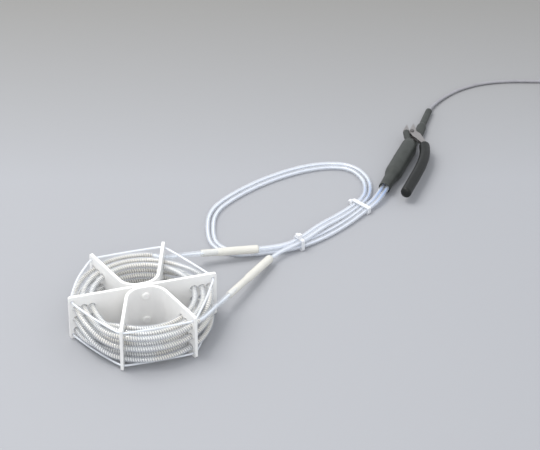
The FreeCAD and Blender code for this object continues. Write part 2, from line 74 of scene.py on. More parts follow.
# each ring's (column, row): from the rear right arm to the left one, then at both front arms,
# then at the right one
RINGS = (((2, 0), (2, 1), (2, 1)), ((2, 1), (2, 2), (2, 2)), ((2, 2), (1, 2), (1, 2)),
         ((1, 2), (0, 2), (0, 2)), ((0, 2), (0, 1), (0, 1)), ((0, 1), (0, 0), (0, 0)),
         ((0, 0), (1, 0), (1, 0)), ((1, 1), (1, 1), (2, 0)), ((1, 0), (2, 0), None))
# control points that are 30 degrees apart lie this much outside the circle that they make
RING_GROW = 1 / math.cos(math.radians(15))
JOINT_DEPTH = 14                # from a joint sleeve's lead end to where heater and lead tube meet
SLEEVE_RUN_IN = 14              # the straight stretch of heater tube before its sleeve
REAR_SLEEVE = (mm(80.0, 81.45, 13.9), mm(139.7, 77.7, 10.0))
FRONT_SLEEVE = (mm(88.0, 2.0, 17.0), mm(148.0, 62.0, 7.5))
REAR_JOINT = on_line(REAR_SLEEVE[1], REAR_SLEEVE[0], JOINT_DEPTH)
FRONT_JOINT = on_line(FRONT_SLEEVE[1], FRONT_SLEEVE[0], JOINT_DEPTH)

# x, y and z of the middle between the two lead tubes, and half their spacing
FIRST_PASS = (
    (300.5, 150.1, 9.25, 2.6), (287.0, 133.6, 6.2, 2.65), (268.8, 122.9, 3.8, 2.65),
    (243.0, 105.5, 3.0, 2.9), (214.0, 90.5, 3.0, 3.3), (185.0, 79.5, 3.8, 2.65),
    (163.0, 79.5, 2.9, 2.65), (137.5, 82.5, 2.6, 2.8), (114.0, 87.5, 2.6, 2.9),
    (100.5, 105.0, 2.6, 2.8), (102.0, 129.0, 2.6, 2.9), (112.5, 161.0, 2.6, 3.2),
    (134.0, 180.0, 2.6, 3.4), (176.0, 201.0, 2.6, 3.2), (223.0, 213.0, 2.6, 3.6),
    (258.0, 211.5, 2.6, 3.4), (279.0, 200.0, 2.6, 3.2), (286.5, 178.0, 2.6, 3.0),
    (283.5, 157.5, 2.8, 2.8), (273.5, 138.8, 3.8, 2.65), (243.5, 119.5, 3.4, 2.8),
    (214.0, 101.5, 7.6, 2.8), (185.0, 79.5, 9.4, 2.65))

BOOT_MOUTH = mm(297.3, 146.0, 9.25)
BOOT_AXIS = Vector((math.cos(math.radians(53)), math.sin(math.radians(53)), 0))
CLIP_AT = mm(355.4, 230.0)
CLIP_TURN = Euler((0, 0, math.radians(-16)))
CLIP_Z = 13.0


def on_boot(s, side, z):
    """The point s along the boot's axis, side to its right and z up, in millimetres."""
    right = Vector((BOOT_AXIS.y, -BOOT_AXIS.x, 0))
    p = BOOT_MOUTH + (BOOT_AXIS * s + right * side) * 0.001
    return Vector((p.x, p.y, z * 0.001))


def on_clip(x, y):
    """A point in the clip's own directions, with its pivot at 0, 0, in millimetres."""
    p = mm(x, y, CLIP_Z)
    p.rotate(CLIP_TURN)
    return p + CLIP_AT


NECK = (on_boot(84, 0, 11.6), on_clip(-5.6, -8.0), on_clip(-6.0, 2.6))
GRIP = tuple(on_clip(x, y) for x, y in (
    (12.5, -24.5), (12.9, -34.5), (10.8, -50.0), (4.3, -70.8), (-2.6, -89.0), (-10.4, -110.0)))
RELIEF = (on_boot(82, 2.0, 5.2), mm(362.5, 231.5, 5.0), mm(373.4, 251.0, 4.6),
          mm(391.6, 279.4, 3.9))
CORD_IN = on_line(RELIEF[3], RELIEF[2], 8)
CORD_OUT = on_line(RELIEF[3], RELIEF[2], -4)
CORD_RUN = (CORD_IN, CORD_OUT, mm(403.0, 292.5, 2.4), mm(419.5, 304.5, 1.8),
            mm(440.0, 314.0, 1.8), mm(466.0, 318.5, 1.8), mm(494.0, 315.5, 1.8),
            mm(523.0, 307.0, 1.8), mm(548.0, 299.0, 1.8), mm(570.0, 292.6, 1.8))
COIL_AT = mm(567.6, 270.4, 1.1)
CORD_TAIL = (COIL_AT + mm(16.0, 15.4, 6.0), mm(594.0, 277.0, 5.4), mm(604.0, 262.5, 6.6),
             mm(608.5, 249.5, 7.0))


def heater_points():
    """Ring points every 30 degrees.

    The tube moves on to its next hole left of the front left arm, and on the right.
    """
    pts = [REAR_JOINT, on_line(*REAR_SLEEVE, -SLEEVE_RUN_IN), mm(50.0, 62.5, 29.5),
           mm(35.6, 55.2, 36.0)]
    for k, (rear, front, right) in enumerate(RINGS):
        angles = [(a, rear) for a in (45.0, 75.0, 105.0, 135.0, 165.0, 195.0)]
        angles += [(a, front) for a in (225.0, 255.0, 285.0, 315.0)]
        angles += [(a, right) for a in (345.0, 375.0)]
        if k == 0:
            angles = angles[1:]
        if right is None:
            angles = angles[:-3]
        pts += [polar(COLUMNS[column] * RING_GROW, a, ROWS[row]) for a, (column, row) in angles]
    pts += [mm(49.0, -49.4, 35.2), mm(68.0, -24.5, 27.5),
            on_line(*FRONT_SLEEVE, -SLEEVE_RUN_IN), FRONT_JOINT]
    return pts


def beside(side):
    """The points of one lead tube: left of the pair's route for side 1, right of it for -1."""
    pts = []
    for k, (x, y, z, gap) in enumerate(FIRST_PASS):
        before = FIRST_PASS[max(k - 1, 0)]
        after = FIRST_PASS[min(k + 1, len(FIRST_PASS) - 1)]
        a = Vector((x - before[0], y - before[1]))
        b = Vector((after[0] - x, after[1] - y))
        heading = (a.normalized() + b.normalized()).normalized()
        pts.append(mm(x - heading.y * gap * side, y + heading.x * gap * side, z))
    return pts


TIP_R = 75.0                    # from the frame's centre to an arm's tip
BEND_AT = Vector((3.0, -21.0))  # the centre of a bent plate's bend, and the bend's radius
BEND_R = 18.0
STRAND_AT = 72.8                # to the tie strands' corner points, just outside their holes
STRAND_HEIGHTS = (("Upper", 44.5), ("Lower", 4.5))
# each arm, and how far the strand bows out on its way to the next one
STRAND_BOWS = (("right", 0.8), ("rear_right", 0.8), ("rear_left", 4.6), ("left", 2.3),
               ("front_left", 0.9), ("front_right", 1.6))


def arm_at(name, radius):
    """The point of an arm's middle plane that far from the frame's centre."""
    if name in ("right", "left"):
        return Vector((radius if name == "right" else -radius, 0.0))
    to_tip = Vector((TIP_R * 0.5, -TIP_R * math.sin(math.radians(60)))) - BEND_AT
    lean = math.atan2(to_tip.y, to_tip.x) - math.asin(BEND_R / to_tip.length)
    way = Vector((math.cos(lean), math.sin(lean)))
    start = BEND_AT + Vector((-way.y, way.x)) * BEND_R
    run = -start.dot(way) + math.sqrt(start.dot(way) ** 2 + radius ** 2 - start.dot(start))
    p = start + way * run
    return Vector((p.x if "right" in name else -p.x, p.y if "front" in name else -p.y))


def strand_points(z):
    """A tie strand's points, once round the six arms."""
    corners = [arm_at(name, STRAND_AT) for name, _ in STRAND_BOWS]
    pts = []
    for k, (_, bow) in enumerate(STRAND_BOWS):
        here = corners[k]
        after = corners[(k + 1) % 6]
        out = ((here + after) * 0.5).normalized()
        pts.append(mm(*here, z))
        for t, part in ((0.17, 0.5), (0.5, 1), (0.83, 0.5)):
            p = here.lerp(after, t) + out * bow * part
            pts.append(mm(*p, z))
    return pts


def cord_points():
    """The mains cord: along the floor, eleven turns of the put-away coil, and on to the plug."""
    o, m, i = 22.2, 18.7, 15.2              # the radii of the outer, middle and inner turns
    z1, z2, z3, z4 = 1.8, 5.25, 8.7, 12.1   # the heights of the four layers
    turns = ((o, z1), (m, z1), (i, z1), (i, z2), (i, z3), (i, z4), (m, z4), (o, z4), (o, z3),
             (m, z3), (m, z2))
    pts = list(CORD_RUN)
    for k, (radius, z) in enumerate(turns):
        angle = 54.0 if k == 0 else 114.0
        while angle > -217.0:
            pts.append(COIL_AT + polar(radius * RING_GROW, angle, z))
            angle -= 30.0
    for angle in (114.0, 84.0):
        pts.append(COIL_AT + polar(o * RING_GROW, angle, z2))
    return pts + list(CORD_TAIL)


# ---- making lines and swept pieces ---------------------------------------------------------------
def spline_curve(name, points, radius=0.0, cyclic=False, around=4):
    """A curve object of one NURBS spline through the route's control points."""
    data = bpy.data.curves.new(name, "CURVE")
    data.dimensions = "3D"
    data.resolution_u = 6
    s = data.splines.new("NURBS")
    s.points.add(len(points) - 1)
    for p, co in zip(s.points, points):
        p.co = (*co, 1.0)
    s.order_u = 3
    s.use_cyclic_u = cyclic
    s.use_endpoint_u = not cyclic
    data.bevel_depth = radius
    data.bevel_resolution = around
    data.use_fill_caps = not cyclic
    ob = bpy.data.objects.new(name, data)
    bpy.context.scene.collection.objects.link(ob)
    return ob


def line_of(points, cyclic=False):
    """The smooth line that the route's NURBS spline makes, as points."""
    ob = spline_curve("Route", points, cyclic=cyclic)
    bpy.context.view_layer.update()
    mesh = bpy.data.meshes.new_from_object(ob)
    line = [v.co.copy() for v in mesh.vertices]
    bpy.data.meshes.remove(mesh)
    data = ob.data
    bpy.data.objects.remove(ob)
    bpy.data.curves.remove(data)
    return line


def part_of(line, start, stop):
    """The stretch of a line between two distances from its start, in metres."""
    kept = []
    run = 0.0
    for a, b in zip(line, line[1:]):
        step = (b - a).length
        for edge in (start, stop):
            if run <= edge < run + step:
                kept.append(a.lerp(b, (edge - run) / step))
        if start < run + step < stop:
            kept.append(b)
        run += step
    return kept


def spaced(line, gap):
    """The same line with points at most gap metres apart."""
    pts = [line[0]]
    for a, b in zip(line, line[1:]):
        n = max(1, math.ceil((b - a).length / gap))
        pts += [a.lerp(b, (k + 1) / n) for k in range(n)]
    return pts


def even(radius):
    """A size function for a round piece of one radius."""
    return lambda t: (radius, radius)


def new_object(name, mesh):
    """An object of that mesh, in the scene."""
    ob = bpy.data.objects.new(name, mesh)
    bpy.context.scene.collection.objects.link(ob)
    return ob


def sweep_into(bm, line, size, sides, cyclic=False):
    """Adds a swept tube to the mesh.

    size gives half the width and half the height at a share of the line's length.
    """
    uv = bm.loops.layers.uv.verify()
    n = len(line)
    lengths = [0.0]
    for a, b in zip(line, line[1:]):
        lengths.append(lengths[-1] + (b - a).length)
    total = lengths[-1]
    rings = []
    for k, p in enumerate(line):
        if cyclic:
            along = line[(k + 1) % n] - line[k - 1]
        else:
            along = line[min(k + 1, n - 1)] - line[max(k - 1, 0)]
        along.normalize()
        right = along.cross(UP).normalized()
        over = right.cross(along)
        w, h = size(lengths[k] / total)
        turns = [2 * math.pi * j / sides for j in range(sides)]
        rings.append([bm.verts.new(p + right * (w * math.cos(a)) + over * (h * math.sin(a)))
                      for a in turns])
    count = n if cyclic else n - 1
    for k in range(count):
        a, b = rings[k], rings[(k + 1) % n]
        end = lengths[k + 1] if k + 1 < n else total + (line[0] - line[-1]).length
        for j in range(sides):
            f = bm.faces.new((a[j], a[(j + 1) % sides], b[(j + 1) % sides], b[j]))
            f.smooth = True
            corners = ((lengths[k], j), (lengths[k], j + 1), (end, j + 1), (end, j))
            for loop, (distance, side) in zip(f.loops, corners):
                loop[uv].uv = (distance, side / sides)
    if not cyclic:
        bm.faces.new(rings[0][::-1]).smooth = False
        bm.faces.new(rings[-1]).smooth = False


def swept(name, lines, size, sides, cyclic=False):
    """One object made of swept tubes along those lines."""
    bm = bmesh.new()
    for line in lines:
        sweep_into(bm, line, size, sides, cyclic)
    bmesh.ops.recalc_face_normals(bm, faces=bm.faces)
    mesh = bpy.data.meshes.new(name)
    bm.to_mesh(mesh)
    bm.free()
    return new_object(name, mesh)


def profile(steps):
    """A size function from (share, radius in millimetres) steps, blended smoothly between them."""
    def size(t):
        for (t0, r0), (t1, r1) in zip(steps, steps[1:]):
            if t <= t1:
                x = (t - t0) / max(t1 - t0, 1e-9)
                x = x * x * (3 - 2 * x)
                r = (r0 + (r1 - r0) * x) * 0.001
                return r, r
        return steps[-1][1] * 0.001, steps[-1][1] * 0.001
    return size


def apply_modifiers(ob):
    """Turns the object's modifiers into its mesh."""
    bpy.context.view_layer.update()
    graph = bpy.context.evaluated_depsgraph_get()
    mesh = bpy.data.meshes.new_from_object(ob.evaluated_get(graph))
    old = ob.data
    ob.modifiers.clear()
    ob.data = mesh
    mesh.name = ob.name
    bpy.data.meshes.remove(old)


def place(ob, material, slot, body, *nodes):
    """Gives a piece its finish and its body, and hides the construction nodes that it stands for."""
    ob.data.materials.clear()
    ob.data.materials.append(material)
    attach(ob, body)
    if nodes:
        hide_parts(*nodes)


def paint(node, material):
    """Gives a construction node its finish."""
    ob = NODES[node]
    if not ob.material_slots:
        ob.data.materials.append(material)
    for s in ob.material_slots:
        s.material = material


def soften(node, width):
    """Breaks a construction node's sharp edges."""
    bevel = NODES[node].modifiers.new("Edge", "BEVEL")
    bevel.width = width
    bevel.segments = 2
    bevel.limit_method = "ANGLE"
    bevel.angle_limit = math.radians(50)
    bevel.use_clamp_overlap = True


# ---- finishes ------------------------------------------------------------------------------------
COLOUR_A, COLOUR_B, COLOUR_OUT = 6, 7, 2   # a mix node's colour sockets, which share names with others


class Finish:
    """A material with a pattern of its own: colour, roughness and fine relief."""

    def __init__(self, name):
        self.material = bpy.data.materials.new(name)
        self.material.use_nodes = True
        self.tree = self.material.node_tree
        self.shader = self.tree.nodes["Principled BSDF"]
        self.where = self.node("ShaderNodeTexCoord")

    def node(self, kind, **values):
        n = self.tree.nodes.new(kind)
        for key, value in values.items():
            if key in n.inputs:
                n.inputs[key].default_value = value
            else:
                setattr(n, key, value)
        return n

    def link(self, a, b):
        self.tree.links.new(a, b)

    def noise(self, scale, detail, stretch=(1, 1, 1)):
        """Noise in the object's own coordinates, scale in features per metre."""
        place_at = self.node("ShaderNodeMapping")
        place_at.inputs["Scale"].default_value = stretch
        self.link(self.where.outputs["Object"], place_at.inputs["Vector"])
        n = self.node("ShaderNodeTexNoise", Scale=scale, Detail=detail, Roughness=0.55)
        self.link(place_at.outputs["Vector"], n.inputs["Vector"])
        return n.outputs["Fac"]

    def along(self, pitch):
        """Helical stripes along a swept piece, pitch in metres."""
        split = self.node("ShaderNodeSeparateXYZ")
        self.link(self.where.outputs["UV"], split.inputs["Vector"])
        turns = self.node("ShaderNodeMath", operation="DIVIDE")
        turns.inputs[1].default_value = pitch
        self.link(split.outputs["X"], turns.inputs[0])
        total = self.node("ShaderNodeMath", operation="ADD")
        self.link(turns.outputs[0], total.inputs[0])
        self.link(split.outputs["Y"], total.inputs[1])
        wave = self.node("ShaderNodeMath", operation="PINGPONG")
        wave.inputs[1].default_value = 0.5
        self.link(total.outputs[0], wave.inputs[0])
        double = self.node("ShaderNodeMath", operation="MULTIPLY")
        double.inputs[1].default_value = 2.0
        self.link(wave.outputs[0], double.inputs[0])
        return double.outputs[0]

    def ramp(self, source, stops):
        """Colours along a value."""
        r = self.node("ShaderNodeValToRGB")
        ramp = r.color_ramp
        for element, (position, colour) in zip(ramp.elements, (stops[0], stops[-1])):
            element.position, element.color = position, (*colour, 1)
        for position, colour in stops[1:-1]:
            ramp.elements.new(position).color = (*colour, 1)
        self.link(source, r.inputs["Fac"])
        return r.outputs["Color"]

    def colour(self, source, stops):
        self.link(self.ramp(source, stops), self.shader.inputs["Base Color"])

    def multiply(self, one, other):
        """One colour times another."""
        mix = self.node("ShaderNodeMix", data_type="RGBA", blend_type="MULTIPLY")
        mix.inputs["Factor"].default_value = 1.0
        self.link(one, mix.inputs[COLOUR_A])
        self.link(other, mix.inputs[COLOUR_B])
        return mix.outputs[COLOUR_OUT]

    def rough(self, source, low, high):
        r = self.node("ShaderNodeMapRange")
        r.inputs["To Min"].default_value = low
        r.inputs["To Max"].default_value = high
        self.link(source, r.inputs["Value"])
        self.link(r.outputs["Result"], self.shader.inputs["Roughness"])

    def relief(self, source, height, strength):
        b = self.node("ShaderNodeBump")
        b.inputs["Strength"].default_value = strength
        b.inputs["Distance"].default_value = height
        self.link(source, b.inputs["Height"])
        self.link(b.outputs["Normal"], self.shader.inputs["Normal"])

    def set(self, **values):
        for key, value in values.items():
            self.shader.inputs[key.replace("_", " ")].default_value = value
        return self.material


def tinted(colour, factor):
    """The colour made lighter or darker by that factor."""
    return tuple(min(1.0, c * factor) for c in colour)


def white_plate(colour):
    """Skived fluoropolymer sheet: chalky white, faint machining lines, slightly waxy."""
    f = Finish("Fluoropolymer_Plate")
    f.colour(f.noise(60, 4), ((0.3, tinted(colour, 0.965)), (0.7, colour)))
    f.rough(f.noise(400, 2), 0.38, 0.5)
    f.relief(f.noise(900, 2, (1, 1, 0.06)), 0.00006, 0.35)
    return f.set(Subsurface_Weight=0.12, Subsurface_Radius=(0.004, 0.004, 0.004),
                 Subsurface_Scale=0.5)


def white_bolt(colour):
    """Moulded plastic bolts and nuts, a little glossier than the plates."""
    f = Finish("Moulded_Bolt")
    f.colour(f.noise(300, 2), ((0.3, tinted(colour, 0.96)), (0.7, colour)))
    f.rough(f.noise(700, 2), 0.28, 0.4)
    f.relief(f.noise(1500, 2), 0.00003, 0.3)
    return f.set()


def clear_wall(name, colour, alpha, haze, gloss=0.16):
    """The wall of a clear fluoropolymer tube, with a faint haze in it."""
    f = Finish(name)
    f.colour(f.noise(70, 3), ((0.3, tinted(colour, 1 - haze)), (0.7, colour)))
    f.rough(f.noise(240, 2), gloss, gloss + 0.08)
    f.relief(f.noise(500, 2), 0.00004, 0.25)
    return f.set(Alpha=alpha, Coat_Weight=1.0, Coat_Roughness=0.06, Coat_IOR=1.8, IOR=1.7)


def wound_core(dark, light):
    """The heating conductor: a fine wire wound on a core, seen as slanting lines, browner in places."""
    pitch = 0.0024
    f = Finish("Wound_Conductor")
    lines = f.ramp(f.along(pitch), ((0.15, dark), (0.6, light)))
    patches = f.ramp(f.noise(26, 2), ((0.42, (0.97, 0.98, 1.0)), (0.60, (1.0, 0.95, 0.86))))
    f.link(f.multiply(lines, patches), f.shader.inputs["Base Color"])
    f.rough(f.noise(600, 2), 0.42, 0.6)
    f.relief(f.along(pitch), 0.00012, 0.5)
    return f.set(Metallic=0.15)


STRONG_BLUE_TO = 0.008          # metres from the boot's mouth
PLAIN_BLUE_FROM = 0.034


def cold_wire(name, colour, strong=None):
    """Insulated lead wire: pale blue, smooth, with a stronger blue by the boot."""
    f = Finish(name)
    plain = f.ramp(f.noise(40, 3), ((0.3, tinted(colour, 0.92)), (0.7, tuple(colour))))
    if strong:
        away = f.node("ShaderNodeVectorMath", operation="DISTANCE")
        away.inputs[1].default_value = BOOT_MOUTH
        f.link(f.where.outputs["Object"], away.inputs[0])
        share = f.node("ShaderNodeMapRange")
        share.inputs["From Min"].default_value = STRONG_BLUE_TO
        share.inputs["From Max"].default_value = PLAIN_BLUE_FROM
        f.link(away.outputs["Value"], share.inputs["Value"])
        mix = f.node("ShaderNodeMix", data_type="RGBA")
        f.link(share.outputs["Result"], mix.inputs["Factor"])
        mix.inputs[COLOUR_A].default_value = (*strong, 1)
        f.link(plain, mix.inputs[COLOUR_B])
        plain = mix.outputs[COLOUR_OUT]
    f.link(plain, f.shader.inputs["Base Color"])
    f.rough(f.noise(500, 2), 0.3, 0.42)
    f.relief(f.noise(900, 2), 0.00003, 0.3)
    return f.set()


def cream_sleeve(colour):
    """A shrunk clear sleeve over the joint, yellowed and a little wrinkled."""
    f = Finish("Joint_Sleeve")
    f.colour(f.noise(45, 4), ((0.3, tinted(colour, 0.93)), (0.7, colour)))
    f.rough(f.noise(200, 3), 0.26, 0.42)
    f.relief(f.noise(160, 4), 0.0004, 0.35)
    return f.set(Alpha=0.74, Coat_Weight=0.6, Coat_Roughness=0.15)


def tie_nylon(colour):
    """Natural nylon cable tie: milky, with a fine rib."""
    f = Finish("Tie_Nylon")
    f.colour(f.noise(200, 3), ((0.3, tinted(colour, 0.95)), (0.7, colour)))
    f.rough(f.noise(500, 2), 0.3, 0.45)
    f.relief(f.noise(1200, 2), 0.00005, 0.4)
    return f.set(Alpha=0.7)


def black_shrink(colour):
    """Shrunk polyolefin tube: charcoal satin with soft wrinkles and a dusty bloom."""
    f = Finish("Black_Shrink")
    f.colour(f.noise(90, 4), ((0.35, tinted(colour, 0.82)), (0.65, tinted(colour, 1.12))))
    f.rough(f.noise(300, 3), 0.4, 0.56)
    f.relief(f.noise(130, 5), 0.0006, 0.3)
    return f.set(Specular_IOR_Level=0.45)


def clip_steel(name, colour, rough=0.3):
    """Plated sheet steel with drawn lines and a little dulling."""
    f = Finish(name)
    f.colour(f.noise(140, 4), ((0.3, tinted(colour, 0.78)), (0.7, colour)))
    f.rough(f.noise(500, 3, (1, 0.2, 1)), rough, rough + 0.16)
    f.relief(f.noise(1800, 2, (1, 0.1, 1)), 0.00003, 0.4)
    return f.set(Metallic=0.8)


def black_vinyl(colour):
    """Dipped vinyl grip: near black, glossier than the boot, slightly lumpy."""
    f = Finish("Black_Vinyl")
    f.colour(f.noise(120, 3), ((0.3, tinted(colour, 0.8)), (0.7, tinted(colour, 1.15))))
    f.rough(f.noise(350, 3), 0.34, 0.5)
    f.relief(f.noise(160, 3), 0.0005, 0.3)
    return f.set(Specular_IOR_Level=0.32, Coat_Weight=0.08, Coat_Roughness=0.2)


def grey_jacket(name, colour):
    """Grey vinyl: the mains cord's jacket and its plug."""
    f = Finish(name)
    f.colour(f.noise(110, 3), ((0.3, tinted(colour, 0.88)), (0.7, tinted(colour, 1.06))))
    f.rough(f.noise(450, 3), 0.36, 0.5)
    f.relief(f.noise(900, 3), 0.00006, 0.4)
    return f.set()


# ---- what a user may change ----------------------------------------------------------------------
def linear(r, g, b):
    """A colour in 0 to 255 as a screen shows it, in linear values."""
    return tuple(((c / 255 + 0.055) / 1.055) ** 2.4 if c > 10 else c / 255 / 12.92
                 for c in (r, g, b))


def colour_of(name, text, default):
    """A colour that the user may change."""
    return bpy.props.FloatVectorProperty(name=name, description=text, default=default, size=3,
                                         subtype="COLOR", min=0.0, max=1.0)


def length_of(name, text, default):
    """A length that the user may change, in metres."""
    return bpy.props.FloatProperty(name=name, description=text, default=default, unit="LENGTH",
                                   subtype="DISTANCE", min=0.0)


class HeaterSizes(bpy.types.PropertyGroup):
    """Diameters of the tubes and cords."""
    tube: length_of("Heater tube", "Outside diameter of the clear heater tube", 0.006)
    conductor: length_of("Conductor", "Diameter of the wound conductor in the heater tube",
                         0.0038)
    strand: length_of("Tie strand", "Diameter of the strands round the plate tips", 0.0023)
    lead: length_of("Lead tube", "Outside diameter of the two lead tubes", 0.005)
    lead_wire: length_of("Lead wire", "Diameter of the insulated wire in each lead tube",
                         0.002)
    cord: length_of("Mains cord", "Diameter of the mains cord", 0.0034)


class HeaterColours(bpy.types.PropertyGroup):
    """Colours of the finishes."""
    plate: colour_of("Plates", "White of the three plates", linear(246, 245, 243))
    clear: colour_of("Heater tube", "Tint of the clear heater tube", linear(240, 245, 252))
    core_dark: colour_of("Conductor, dark", "Gaps of the wound conductor", linear(118, 117, 118))
    core_light: colour_of("Conductor, light", "Turns of the wound conductor", linear(238, 235, 228))
    lead: colour_of("Lead tubes", "Tint of the lead tubes", linear(244, 248, 254))
    wire: colour_of("Lead wire", "Blue of the lead wires", linear(224, 230, 242))
    strong: colour_of("Lead wire by the boot", "Stronger blue where the wires enter the boot",
                      linear(52, 128, 204))
    sleeve: colour_of("Joint sleeves", "Cream of the shrunk sleeves", linear(238, 235, 225))
    tie: colour_of("Cable ties", "White of the nylon ties", linear(244, 245, 248))
    shrink: colour_of("Boot", "Charcoal of the shrunk boot", linear(54, 57, 54))
    grip: colour_of("Grip", "Black of the clip's grip", linear(18, 20, 18))
    steel: colour_of("Clip", "Plating of the clip", linear(156, 152, 151))
    cord: colour_of("Mains cord", "Grey of the cord and plug", linear(150, 149, 154))


class StudioSettings(bpy.types.PropertyGroup):
    """Floor and light."""
    # the far floor colour is painted shade: darker and warmer towards the back, where the light falls
    # off
    floor: colour_of("Near floor", "Pale floor in front", linear(163, 164, 168))
    far: colour_of("Far floor", "Pale floor behind", linear(139, 138, 136))
    key: bpy.props.FloatProperty(name="Key light",
                                 description="Power of the large light on the left",
                                 default=21.0, unit="POWER", min=0.0)
    fill: bpy.props.FloatProperty(name="Sky", description="Strength of the soft light all round",
                                  default=1.0, subtype="FACTOR", min=0.0)


# ---- the stage -----------------------------------------------------------------------------------
LENS = 186.67
EYE = mm(-475.865, -2137.917, 1724.895)
LOOK_AT = mm(166.555, 127.473, 0.0)
DEPTH_WAY = (0.273, 0.962, 0)   # away from the camera along the floor
FLOOR_NEAR, FLOOR_FAR = -0.2, 0.62  # where the floor's near and far colours lie that way, in metres
LIT_AT = mm(150, 100)
# each lamp's place, size, and power as a share of the key light's
LAMPS = (("Key", (-0.6, 0.5, 1.75), 1.3, 1.0), ("Front", (-0.3, -1.9, 1.5), 1.0, 0.42),
         ("Glint", (-0.35, 0.15, 1.7), 0.16, 0.16))


def sizes():
    """The sizes that the user may change."""
    return bpy.context.scene.heater_sizes


def colours():
    """The colours that the user may change."""
    return bpy.context.scene.heater_colours


class AddStage(bpy.types.Operator):
    """Adds the floor, the lights and the camera"""
    bl_idname = "heater.stage"
    bl_label = "Stage"

    def execute(self, context):
        scene = context.scene
        studio = scene.heater_studio
        cam = bpy.data.cameras.new("Camera")
        cam.sensor_width = 36.0
        cam.lens = LENS
        cam.clip_end = 50.0
        ob = bpy.data.objects.new("Camera", cam)
        ob.location = EYE
        ob.rotation_euler = (LOOK_AT - EYE).to_track_quat("-Z", "Y").to_euler()
        scene.collection.objects.link(ob)
        scene.camera = ob

        mesh = bpy.data.meshes.new("Floor")
        half = 6.0
        corners = [(-half, -half, 0), (half, -half, 0), (half, half, 0), (-half, half, 0)]
        mesh.from_pydata(corners, [], [(0, 1, 2, 3)])
        floor = new_object("Floor", mesh)
        f = Finish("Floor_Paper_Painted_Shade")
        depth = f.node("ShaderNodeVectorMath", operation="DOT_PRODUCT")
        depth.inputs[1].default_value = DEPTH_WAY
        f.link(f.where.outputs["Object"], depth.inputs[0])
        share = f.node("ShaderNodeMapRange")
        share.inputs["From Min"].default_value = FLOOR_NEAR
        share.inputs["From Max"].default_value = FLOOR_FAR
        f.link(depth.outputs["Value"], share.inputs["Value"])
        # painted shade: the floor's colour darkens from the near colour to the far one, away from the
        # camera, standing in for the light's falloff
        f.colour(share.outputs["Result"], ((0.0, studio.floor), (0.55, tinted(studio.floor, 0.98)),
                                           (1.0, studio.far)))
        f.rough(f.noise(40, 2), 0.75, 0.85)
        f.set(Specular_IOR_Level=0.2)
        floor.data.materials.append(f.material)

        world = bpy.data.worlds.new("Sky")
        scene.world = world
        world.use_nodes = True
        back = world.node_tree.nodes["Background"]
        back.inputs["Color"].default_value = (0.93, 0.96, 1.0, 1)
        back.inputs["Strength"].default_value = studio.fill
        for name, at, size, share_of_key in LAMPS:
            self.lamp(name, at, size, studio.key * share_of_key)
        scene.view_settings.view_transform = "Standard"
        scene.view_settings.look = "None"
        return {"FINISHED"}

    def lamp(self, name, at, size, power):
        """Adds a round area light that faces the part."""
        light = bpy.data.lights.new(name, "AREA")
        light.shape = "DISK"
        light.size = size
        light.energy = power
        light.color = (1.0, 0.985, 0.96)
        ob = bpy.data.objects.new(name, light)
        ob.location = at
        ob.rotation_euler = (LIT_AT - Vector(at)).to_track_quat("-Z", "Y").to_euler()
        bpy.context.scene.collection.objects.link(ob)


# ---- the pieces ----------------------------------------------------------------------------------
class AddCords(bpy.types.Operator):
    """Adds the two lead tubes with their wires, and the mains cord"""
    bl_idname = "heater.cords"
    bl_label = "Lead tubes and cord"

    def execute(self, context):
        s, c = sizes(), colours()
        wall = clear_wall("Lead_Tube_Wall", c.lead, 0.34, 0.04, 0.1)
        wire = cold_wire("Lead_Wire_Blue", c.wire, c.strong)
        ends = {"rear": (-1, REAR_SLEEVE, -20), "front": (1, FRONT_SLEEVE, -12)}
        for name, (side, sleeve, reach) in ends.items():
            joint = REAR_JOINT if name == "rear" else FRONT_JOINT
            points = beside(side) + [on_line(sleeve[1], sleeve[0], reach), joint]
            tube = spline_curve(name.title() + "_Lead_Tube", points, s.lead / 2, around=6)
            place(tube, wall, "lead_tube", ROOT, name + "_lead_tube")
            inner = swept(name.title() + "_Lead_Wire", [line_of(points)], even(s.lead_wire / 2), 12)
            place(inner, wire, "cold_wire", ROOT)
        jacket = grey_jacket("Cord_Jacket", c.cord)
        cord = spline_curve("Mains_Cord", cord_points(), s.cord / 2)
        place(cord, jacket, "grey_cord", ROOT, "mains_cord", "mains_cord_coil", "mains_cord_tail")
        return {"FINISHED"}


class AddFrame(bpy.types.Operator):
    """Finishes the plates, bolts and nuts, and adds the tie strands"""
    bl_idname = "heater.plate_frame"
    bl_label = "Plate frame"

    def execute(self, context):
        s, c = sizes(), colours()
        plate = white_plate(c.plate)
        for node in ("centre_plate", "front_bent_plate", "rear_bent_plate"):
            paint(node, plate)
            soften(node, 0.00035)
        bolt = white_bolt(c.plate)
        for node in ("plate_bolts", "plate_nuts"):
            paint(node, bolt)
        clear = clear_wall("Strand_Clear", c.lead, 0.66, 0.04, 0.2)
        for name, z in STRAND_HEIGHTS:
            line = line_of(strand_points(z), cyclic=True)
            strand = swept(name + "_Tie_Strand", [line], even(s.strand / 2), 12, cyclic=True)
            place(strand, clear, "clear_strand", ROOT, name.lower() + "_tie_strand")
        return {"FINISHED"}


COLD_FIRST, COLD_LAST = 0.113, 0.143    # the unheated lengths at the rear and front ends, in metres
WIRE_SHORT = 0.001                      # how far the cold wires stop short of the tube's ends
COLD_WIRE_R = 0.0011
# each sleeve's (share of its length, radius) steps
SLEEVE_STEPS = {
    "rear": (REAR_SLEEVE, ((0, 3.3), (0.02, 3.7), (0.27, 3.75), (0.33, 4.35), (0.97, 4.4), (1, 4.1))),
    "front": (FRONT_SLEEVE, ((0, 3.3), (0.02, 3.7), (0.42, 3.75), (0.48, 4.35), (0.97, 4.4), (1, 4.1))),
}


